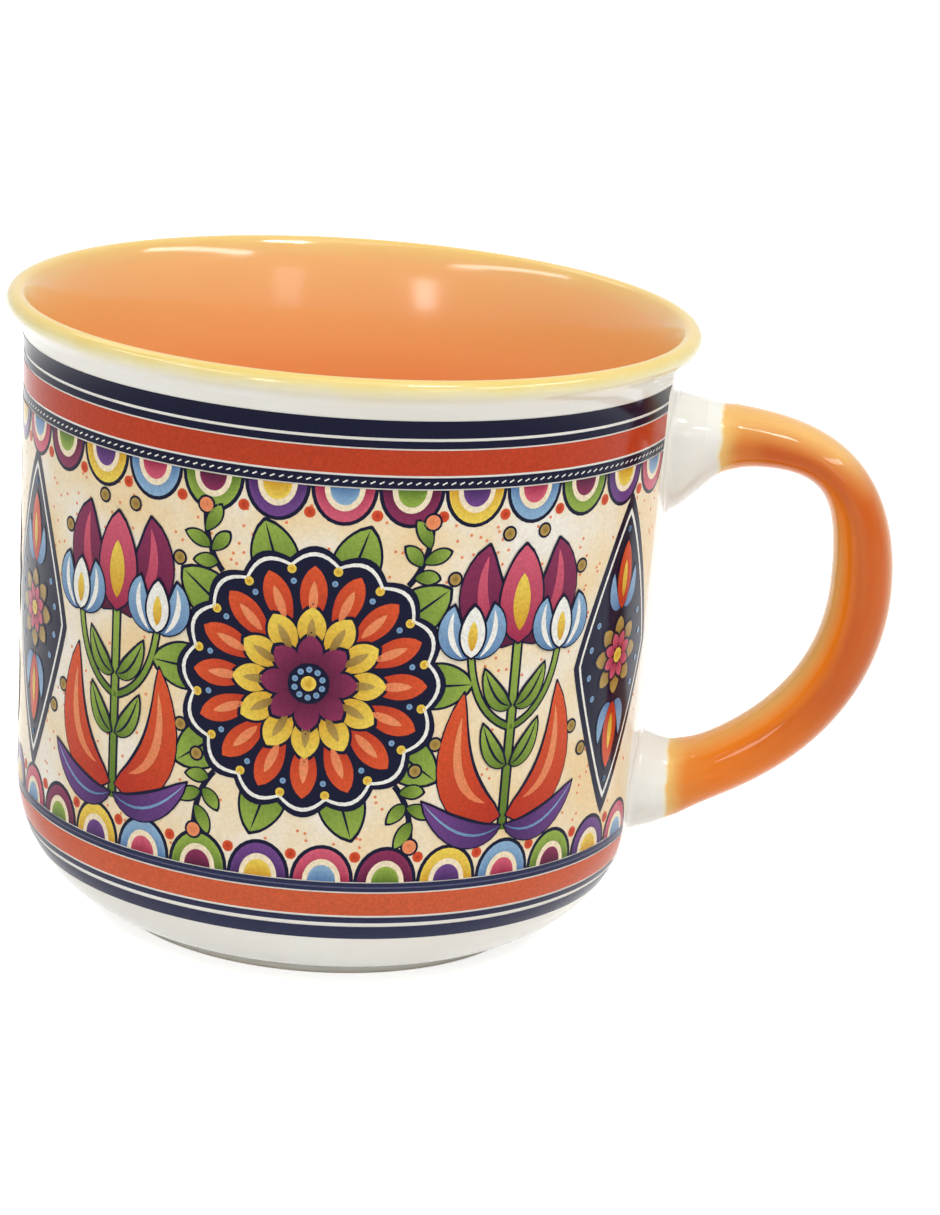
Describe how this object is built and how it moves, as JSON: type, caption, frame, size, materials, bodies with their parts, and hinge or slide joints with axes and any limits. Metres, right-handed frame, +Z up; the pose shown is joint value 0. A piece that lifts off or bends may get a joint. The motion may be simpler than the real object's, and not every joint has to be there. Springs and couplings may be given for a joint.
{
  "type": "porcelain mug",
  "caption": "Round porcelain mug with a flared lip, rounded base on a foot ring, ear handle and a printed wall, for hot drinks.",
  "frame": {"origin": "on the table, under the middle of the mug's whole box, handle included", "axes": "+Z up along the cup's axis, +X from the cup towards its handle"},
  "size_m": [0.121, 0.0926, 0.0843],
  "materials": {
    "porcelain": "clear gloss glaze over white porcelain",
    "handle_porcelain": "clear gloss glaze over white porcelain",
    "slip": "gloss",
    "orange_glaze": "gloss",
    "yellow_glaze": "gloss",
    "grip_glaze": "gloss",
    "upper_stripe_ink": "gloss, fired transfer",
    "picture_ink": "gloss, fired transfer",
    "lower_stripe_ink": "gloss, fired transfer"
  },
  "bodies": {
    "root": {"cup_body": "porcelain", "handle": "handle_porcelain", "upper_slip_joint": "slip", "lower_slip_joint": "slip", "interior_glaze": "orange_glaze", "rim_glaze": "yellow_glaze", "handle_glaze": "grip_glaze", "upper_stripe_transfer": "upper_stripe_ink", "picture_transfer": "picture_ink", "lower_stripe_transfer": "lower_stripe_ink"}
  },
  "joints": []
}
